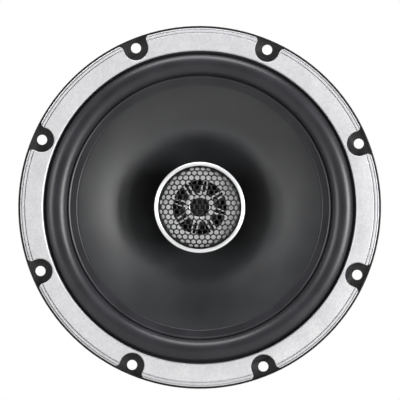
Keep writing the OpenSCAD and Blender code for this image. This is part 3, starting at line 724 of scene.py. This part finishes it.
# %% Wire helper
def smooth_route(points, steps=8):
    """A Catmull-Rom curve through the points."""
    p = [np.array(point, float) for point in points]
    p = [2 * p[0] - p[1], *p, 2 * p[-1] - p[-2]]
    curve = []
    for a, b, c, d in zip(p, p[1:], p[2:], p[3:]):
        for t in np.linspace(0, 1, steps, endpoint=False):
            curve.append(0.5 * (2 * b + (c - a) * t + (2 * a - 5 * b + 4 * c - d) * t ** 2
                                + (3 * b - a - 3 * c + d) * t ** 3))
    return [*curve, p[-2]]


def swept(route, radius, turn, sides=14):
    """A closed tube of that radius along a route given in a frame turned by turn degrees."""
    c, s = math.cos(math.radians(turn)), math.sin(math.radians(turn))
    line = [Vector((c * x - s * y, s * x + c * y, z)) for x, y, z in smooth_route(route)]
    shape = bmesh.new()
    along_wire = shape.loops.layers.uv.new("along_wire")
    ahead = [(b - a).normalized() for a, b in zip(line, line[1:])]
    side = ahead[0].orthogonal().normalized()
    rings, lengths = [], [0.0]
    for i, point in enumerate(line):
        way = ahead[min(i, len(ahead) - 1)]
        side = (side - side.dot(way) * way).normalized()
        up = way.cross(side)
        rings.append([shape.verts.new(stood(*(point + radius * (math.cos(a) * side
                                                                + math.sin(a) * up))))
                      for a in np.linspace(0, 2 * math.pi, sides, endpoint=False)])
        lengths.append(lengths[-1] + (line[min(i + 1, len(line) - 1)] - point).length)
    for i, (low, high) in enumerate(zip(rings, rings[1:])):
        for k in range(sides):
            n = (k + 1) % sides
            face = shape.faces.new((low[k], low[n], high[n], high[k]))
            for loop, at in zip(face.loops, ((k, i), (k + 1, i), (k + 1, i + 1), (k, i + 1))):
                loop[along_wire].uv = (at[0] * 2 * math.pi * radius / sides, lengths[at[1]])
    shape.faces.new(rings[0])
    shape.faces.new(rings[-1])
    bmesh.ops.recalc_face_normals(shape, faces=shape.faces)
    return shape


# %% [markdown]
# ## The tinsel leads
# The current reaches the moving coil through braids of copper tinsel wound on cotton, which bend millions
# of times without breaking. Each hangs in a slack bow from its tab to the coil's tube, and follows the
# cone at its inner end. The strands are drawn as bands that wind round the lead at 45 degrees, 0.85 mm
# apart.

# %% Tinsel leads
copper_braid = finish("copper_tinsel_braid", "#8F4A24", "#B86E3F", (0.32, 0.45), 0.8, 0.01,
                      drift=2.0, metal=0.8)
braid_map = add(copper_braid.node_tree, "UVMap", uv_map="along_wire")
strands = add(copper_braid.node_tree, "TexWave", {"Scale": math.pi / 6},
              {"Vector": braid_map.outputs["UV"]}, bands_direction="DIAGONAL")
press(copper_braid, strands.outputs["Fac"], 0.15)
TINSEL_ROUTE = [(55.8, 4, -13), (55.4, 4, -11.8), (53, 4.2, -11), (48, 4.6, -12.2), (42, 5, -15.2),
                (35, 5.2, -18.2), (28, 5.2, -19.8), (21, 5, -20.6), (15, 5, -20.8)]
for name, side in (("tinsel_lead_positive", -1), ("tinsel_lead_negative", 1)):
    route = [(x, side * y, z) for x, y, z in TINSEL_ROUTE]
    lead = fit(name.replace("lead", "braid"), swept(route, 0.6, 135), copper_braid, None, [name])
    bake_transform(lead)

# %% [markdown]
# ## The crossover capacitor and its wires
# A small capacitor on the motor's edge keeps the bass out of the tweeter. Its aluminium can is crimped
# near the ends and wears a shrunk sleeve of blue PVC, which rolls a little over each end and leaves the
# bare metal showing. Its tinned wires go to the wide blade and, in a shrunk sleeve, to the red wire.

# %% Capacitor
CAPACITOR_TURN = 111
CAPACITOR_R = 47.1
CAPACITOR_Z = -37.7
CAN_END = 0.0069         # metres from the middle, just inside the can's end faces
BARE_R = 0.0030          # the sleeve leaves the metal bare inside this radius
blue_sleeve = finish("shrunk_blue_pvc", "#13294D", "#1B3866", (0.22, 0.34), 1.0, 0.008, drift=6.0)
can_aluminium = finish("drawn_aluminium_can", "#A9ABAD", "#C3C5C7", (0.25, 0.4), 0.8, 0.01,
                       drift=3.0, metal=1.0)
half_can = [(0, 7.1), (2.9, 7.1, 0.2), (3.1, 7.5, 0.25), (3.7, 7.5, 0.4), (4.0, 7.1, 0.3),
            (4.0, 6.3, 0.3), (3.6, 5.9, 0.25), (4.0, 5.5, 0.3)]
can_outline = rounded(half_can + [(*c[:1], -c[1], *c[2:]) for c in half_can[::-1]], steps=5)
can_shape = turned(can_outline, 64)
tip = math.radians(CAPACITOR_TURN)
for vertex in can_shape.verts:
    x, z, y = vertex.co.x, vertex.co.z, vertex.co.y * 1000
    out = CAPACITOR_R + x * 1000
    vertex.co = stood(out * math.cos(tip) - y * math.sin(tip), out * math.sin(tip) + y * math.cos(tip),
                      CAPACITOR_Z + z * 1000)
bmesh.ops.recalc_face_normals(can_shape, faces=can_shape.faces)
capacitor = fit("sleeved_capacitor", can_shape, blue_sleeve, "basket_body",
                ["crossover_capacitor"], sharp=50)
capacitor.data.materials.append(can_aluminium)
middle = Vector(stood(CAPACITOR_R * math.cos(tip), CAPACITOR_R * math.sin(tip), CAPACITOR_Z))
axis = Vector(stood(-math.sin(tip), math.cos(tip), 0)).normalized()
for face in capacitor.data.polygons:
    reach = face.center - middle
    if abs(reach.dot(axis)) > CAN_END and (reach - axis * reach.dot(axis)).length < BARE_R:
        face.material_index = 1

# %% Wires of the tweeter
tinned_copper = finish("tinned_copper_wire", "#B3B5B7", "#C9CBCD", (0.25, 0.38), 0.8, 0.01,
                       drift=2.0, metal=1.0)
red_pvc = finish("red_pvc_insulation", "#8E1A18", "#A5211E", (0.30, 0.40), 0.9, 0.01, drift=8.0)
black_pvc = finish("black_pvc_insulation", "#121213", "#1B1B1C", (0.30, 0.40), 0.9, 0.01, drift=8.0)
shrunk = finish("heat_shrunk_polyolefin", "#141415", "#1D1D1E", (0.45, 0.58), 0.9, 0.03, drift=3.0)
WIRE_ROUTE = [(0, .9, -6.8), (0, .9, -30), (0, .9, -60.5), (.5, .9, -61.9), (1.8, .9, -62.7),
              (4, .9, -62.9), (24, .9, -62.9), (42.5, .9, -62.9), (44.8, .9, -62.3),
              (46, .9, -60.6), (46.1, 1.2, -57)]
POSITIVE_END = [(46, -4, -53), (45.7, -8.6, -50), (45.6, -10.7, -47), (45.6, -10.7, -44)]
NEGATIVE_END = [(46, 4, -53), (45.4, 9, -50), (43, 18, -46), (44.5, 24, -38.5),
                (46.8, 26.2, -31), (48.3, 26.4, -27.5)]
BLADE_LEAD = [(47.2, 7.6, -37.7), (47.4, 9.5, -37.5), (50, 14.5, -32), (51.8, 17.8, -28.5),
              (52, 18.3, -27)]
SLEEVE_LEAD = [(47.2, -7.6, -37.7), (47.1, -9.4, -37.9), (46.2, -10.5, -39), (45.6, -10.7, -42)]
positive = [(x, -y, z) for x, y, z in WIRE_ROUTE] + POSITIVE_END
fit("red_tweeter_wire", swept(positive, 0.7, CAPACITOR_TURN), red_pvc, "basket_body",
    ["tweeter_wire_positive"])
fit("black_tweeter_wire", swept(WIRE_ROUTE + NEGATIVE_END, 0.7, CAPACITOR_TURN),
    black_pvc, "basket_body", ["tweeter_wire_negative"])
fit("capacitor_lead_to_blade", swept(BLADE_LEAD, 0.4, CAPACITOR_TURN), tinned_copper,
    "basket_body", ["capacitor_leads"])
fit("capacitor_lead_to_sleeve", swept(SLEEVE_LEAD, 0.4, CAPACITOR_TURN),
    tinned_copper, "basket_body", ["capacitor_leads"])
joint = (45.6 * math.cos(tip) + 10.7 * math.sin(tip), 45.6 * math.sin(tip) - 10.7 * math.cos(tip))
sleeve_outline = rounded([
    (0.78, -46.2), (1.05, -46.2, 0.2), (1.3, -45.2, 0.6), (1.25, -43.7, 0.8), (1.3, -42.2, 0.6),
    (1.0, -41.2, 0.2), (0.78, -41.2)])
fit("shrunk_joint_sleeve", turned(sleeve_outline, 32, joint), shrunk, "basket_body",
    ["joint_sleeve"], sharp=50)

# %% [markdown]
# ## The post
# The tweeter stands on a hollow post of black ABS that goes through the pole. A washer and a nut in the
# recess of the back plate pull it tight, and the tweeter's wires leave through its bore. The thread is cut
# as rings one pitch apart, since a ring and a helix look the same at this size.

# %% ABS
abs_plastic = finish("spark_textured_black_abs", "#131314", "#1A1A1B", (0.38, 0.48), 0.9, 0.02)

# %% Post, washer and nut
THREAD_PITCH = 1.25
thread = []
height = -61.7
while height < -50.0:
    thread += [(3.95, height + 0.1), (3.95, height + 0.35), (3.3, height + 0.75), (3.3, height + 1.0)]
    height += THREAD_PITCH
post_outline = [(2.4, -61.7), (3.5, -61.7)] + thread + rounded([
    (4.0, -49.0), (4.0, -36.5), (6, -36.5, 0.2), (6, -11.7, 1.2), (9, -9.7, 0.3), (9, -7.7, 0.2),
    (4, -7.7), (4, -6.4), (2.4, -6.4)], closed=False)
fit("hollow_post", turned(post_outline, 96), abs_plastic, "basket_body", ["tweeter_post"])
fit("plain_washer", softened("post_washer", 0.15), bright_steel, "basket_body",
    ["post_washer"])
fit("hexagon_nut", softened("post_nut", 0.3, 3), bright_steel, "basket_body", ["post_nut"],
    sharp=40)

# %% [markdown]
# ## The tweeter's housing and its bright ring
# The housing is a tapered cup of black ABS. Over its mouth sits a ring with a full round lip, blasted
# very finely before it is chrome plated. The satin finish spreads every reflection, so the lip looks
# bright all the way round, where a mirror finish would show the dark parts of the room as well.

# %% Housing and ring
chrome = finish("satin_chrome_plate", "#EFF0F2", "#F7F8F9", (0.32, 0.38), 1.2, 0.002, metal=0.6)
fit("tweeter_cup", turned(rounded([
    (4.1, -7.6), (17.9, -7.6, 0.8), (20.4, 0.0, 1.0), (20.4, 2.9, 0.15), (19.8, 2.9), (19.8, 7.4, 0.2),
    (16.7, 7.4, 0.2), (16.7, -6.3), (4.1, -6.3)]), 240), abs_plastic, "basket_body",
    ["tweeter_housing"])
fit("polished_ring", turned([
    (19.9, 3.15), *swing((20.25, 3.35), 0.35, 180, 360, 6), *swing((19.7, 10.1), 0.9, 0, 180, 20),
    (18.8, 9.7), *swing((19.0, 9.7), 0.2, 180, 270, 4), (19.9, 9.5)], 240), chrome, "basket_body",
    ["tweeter_bezel"], sharp=50)

# %% [markdown]
# ## The perforated cap
# The cap is steel sheet with round holes in a hexagonal pattern, 2.1 mm holes 2.58 mm apart, pressed into
# a shallow crown with a steep side and painted semi-gloss black. It is made the way the press makes it:
# a flat sheet of hexagonal cells, each with its hole, is drawn over the profile by its distance from the
# centre, so the holes lean over and close up on the side. Its rim is tucked under the polished ring.

# %% Perforated sheet, flat
CELL = 2.58
HOLE_R = 1.05
CELL_SIDES = 24
CAP_PROFILE = np.array(rounded([(0, 12.5), (8, 12.35, 8), (16.2, 11.75, 2.4), (18.25, 9.6, 0.3),
                                (18.45, 9.1)], closed=False, steps=12))
lengths = np.concatenate([[0], np.cumsum(np.hypot(*np.diff(CAP_PROFILE, axis=0).T))])
BLANK_R = float(lengths[-1])
LAST_HOLE_R = BLANK_R - 1.25

cap_shape = bmesh.new()
flat_vertices = {}
hole_vertices = set()


def flat_vertex(x, y):
    """The vertex at a place on the flat sheet, shared by the cells that meet there."""
    key = (round(x, 3), round(y, 3))
    if key not in flat_vertices:
        flat_vertices[key] = cap_shape.verts.new((x, y, 0))
    return flat_vertices[key]


angles = [math.radians(360 * k / CELL_SIDES) for k in range(CELL_SIDES)]
edge_r = [CELL / 2 / math.cos((a + math.pi / 6) % (math.pi / 3) - math.pi / 6) for a in angles]
for row in range(-9, 10):
    for column in range(-9, 10):
        x, y = CELL * (column + 0.5 - 0.5 * (row % 2)), CELL * row * math.sin(math.pi / 3)
        if math.hypot(x, y) > LAST_HOLE_R:
            continue
        rim = [flat_vertex(x + r * math.cos(a), y + r * math.sin(a)) for a, r in zip(angles, edge_r)]
        hole = [flat_vertex(x + HOLE_R * math.cos(a), y + HOLE_R * math.sin(a)) for a in angles]
        hole_vertices.update(hole)
        for k in range(CELL_SIDES):
            cap_shape.faces.new((hole[k - 1], rim[k - 1], rim[k], hole[k]))
print(len(hole_vertices) // CELL_SIDES, "holes in a blank of", round(BLANK_R, 1), "mm radius")

# %% Perforated cap, pressed
RIM_R = 19.7
SHEET_T = 0.35
border = [v for v in cap_shape.verts if v.is_boundary and v not in hole_vertices]
open_edges = [e for e in cap_shape.edges if e.is_boundary and e.verts[0] not in hole_vertices]
for vertex in border:
    vertex.co *= BLANK_R / vertex.co.length
for vertex in cap_shape.verts:
    distance = vertex.co.length
    radius, height = (np.interp(distance, lengths, CAP_PROFILE[:, i]) for i in (0, 1))
    vertex.co = stood(*(vertex.co.xy * radius / max(distance, 1e-9)), height)
tucked = {v: cap_shape.verts.new(v.co * RIM_R / CAP_PROFILE[-1][0]) for v in border}
for vertex in tucked.values():
    vertex.co.y = -CAP_PROFILE[-1][1] / 1000
for edge in open_edges:
    a, b = edge.verts
    cap_shape.faces.new((a, b, tucked[b], tucked[a]))
bmesh.ops.recalc_face_normals(cap_shape, faces=cap_shape.faces)

black_mesh_paint = finish("semi_gloss_black_sheet_paint", "#070708", "#0C0C0D", (0.34, 0.42), 0.8,
                          0.01, Specular_IOR_Level=0.35)
cap = fit("perforated_cap", cap_shape, black_mesh_paint, "basket_body", ["tweeter_grille"],
          sharp=60)
gauge = cap.modifiers.new("sheet_gauge", "SOLIDIFY")
gauge.thickness = SHEET_T / 1000
gauge.offset = 0.0

# %% [markdown]
# ## The phase plate
# Between cap and dome sits a moulded plate that spreads the treble: an outer flare, eight petal openings
# between slotted spokes, and a ring with an eye. It is turned, and the openings are punched with cutters
# that flare a little towards the front, so each opening has a bright rounded edge. Its silver lacquer is
# paler than the trim ring's and shows no flake.

# %% Phase plate
PETALS = 8
FIRST_SPOKE = 32.5
EYE_R = 4.3
PETAL_FROM_R = 6.5
PETAL_TO_R = 12.3
HALF_SPOKE = 1.45
HALF_SLOT = 0.65
SLOT_FROM = 7.6
SLOT_TO = 11.6
phase_silver = finish("silver_lacquer_on_phase_plate", "#F0F0F1", "#F7F7F7", (0.30, 0.40), 0.8,
                      0.003, drift=5.0, metal=0.25)
phase_outline = rounded([
    (EYE_R, 5.8, 0.2), (13.3, 5.8), (16.5, 7.5), (19.8, 7.5), (19.8, 8.7, 0.2), (18.3, 8.7, 0.8),
    (12.3, 7.2, 0.8), (5.2, 7.2, 0.5), (EYE_R, 6.7, 0.5)])


def petal_outline(wider):
    """One opening centred on +X: between two spokes, from the ring to the flare."""
    half = math.pi / PETALS
    points = []
    for radius, order, steps in ((PETAL_FROM_R - wider, 1, 4), (PETAL_TO_R + wider, -1, 8)):
        reach = math.degrees(half - math.asin((HALF_SPOKE - wider) / radius))
        points += swing((0, 0), radius, -reach * order, reach * order, steps)
    corners = (points[0], points[4], points[5], points[-1])
    return rounded([(*point, 0.5) if point in corners else point for point in points])


def slot_outline(wider):
    """The slot down the middle of a spoke on +X."""
    half = HALF_SLOT + wider
    return [*swing((SLOT_FROM, 0), half, 90, 270, 8), *swing((SLOT_TO, 0), half, -90, 90, 8)]


CUT_HEIGHTS = [(4.8, 0.0), (6.75, 0.0), (7.0, 0.06), (7.2, 0.16), (7.6, 0.3)]
openings = bmesh.new()
for k in range(PETALS):
    spoke = FIRST_SPOKE + 360 / PETALS * k
    stacked([(petal_outline(wider), z) for z, wider in CUT_HEIGHTS], openings, spoke + 180 / PETALS)
    stacked([(slot_outline(wider * 0.5), z) for z, wider in CUT_HEIGHTS], openings, spoke)
fit("petal_phase_plate", carved(turned(phase_outline, 240), openings), phase_silver,
    "basket_body", ["phase_plate"], sharp=40)

# %% [markdown]
# ## The silk dome
# The dome is pressed from woven silk and coated with a dark, slightly tacky resin that damps it. The weave
# stays visible as a fine grid, drawn at 1.4 mm. Round it runs a small half roll of the same cloth, which
# flexes as the dome moves.

# %% Dome and its surround
coated_silk = finish("resin_coated_silk", "#0D0D0F", "#161618", (0.36, 0.48), 0.8, 0.01, drift=5.0)
woven(coated_silk, 1.4, 0.05)
DOME_R = 12.5
DOME_H = 4.6
OUTER_GROWTH = 0.3       # over the sphere's radius: leaves the sheet about 0.2 mm thick
GROWN_FROM = -7.0        # the height that the outer face grows away from
sphere_r = (DOME_R ** 2 + DOME_H ** 2) / (2 * DOME_H)
half_angle = math.degrees(math.asin(DOME_R / sphere_r))
dome_back = swing((0, 0.1 + DOME_H - sphere_r), sphere_r, 90 - half_angle, 90, 24)
dome_back[-1] = (0.0, 0.1 + DOME_H)
dome_outline = dome_back + [(0.0, 5.0)] + [
    (x * (1 + OUTER_GROWTH / sphere_r), y + OUTER_GROWTH * (y - GROWN_FROM) / sphere_r)
    for x, y in dome_back[-2::-1]]
fit("silk_dome", turned(dome_outline, 160), coated_silk, "dome_body", ["tweeter_dome"],
    sharp=60)
dome_roll = rounded([(13.2, -0.2), *swing((14.3, -0.2), 1.1, 176, 4, 20), (16.4, -0.2)],
                    closed=False)
dome_surround = fit("silk_half_roll", turned(sheet(dome_roll, 0.2), 160), coated_silk, None,
                    ["tweeter_dome_surround"], sharp=60)
flexing(dome_surround, 16.0, 13.4)

# %% [markdown]
# ## Inside the tweeter
# The felt, the plates, the magnet and the coil are plain turned parts, and their CAD meshes are right as
# they are. They are copied with softened edges and given the finish of what they are: pressed wool felt
# has loose fibres and no gloss, and a neodymium magnet is nickel plated against rust.

# %% Tweeter motor
wool_felt = finish("pressed_wool_felt", "#232322", "#363533", (0.92, 1.0), 0.8, 0.2, drift=2.5)
nickel = finish("nickel_plated_magnet", "#B2AFA8", "#C6C3BC", (0.14, 0.22), 0.8, 0.005, drift=5.0,
                metal=1.0)
INSIDE = [("felt_pad", "tweeter_felt", wool_felt, "basket_body", "felt", 0.15),
          ("pole_disc", "tweeter_pole_plate", zinc, "basket_body", "zinc_plated_steel", 0.15),
          ("disc_magnet", "tweeter_magnet", nickel, "basket_body", "nickel_plate", 0.2),
          ("steel_pot", "tweeter_pot", zinc, "basket_body", "zinc_plated_steel", 0.25),
          ("dome_coil_tube", "tweeter_coil_former", polyimide, "dome_body", "polyimide_film", 0.03),
          ("dome_coil_wire", "tweeter_coil_winding", enamelled, "dome_body", "enamelled_copper",
           0.1)]
for name, node, material, body, slot, width in INSIDE:
    fit(name, softened(node, width), material, body, [node])
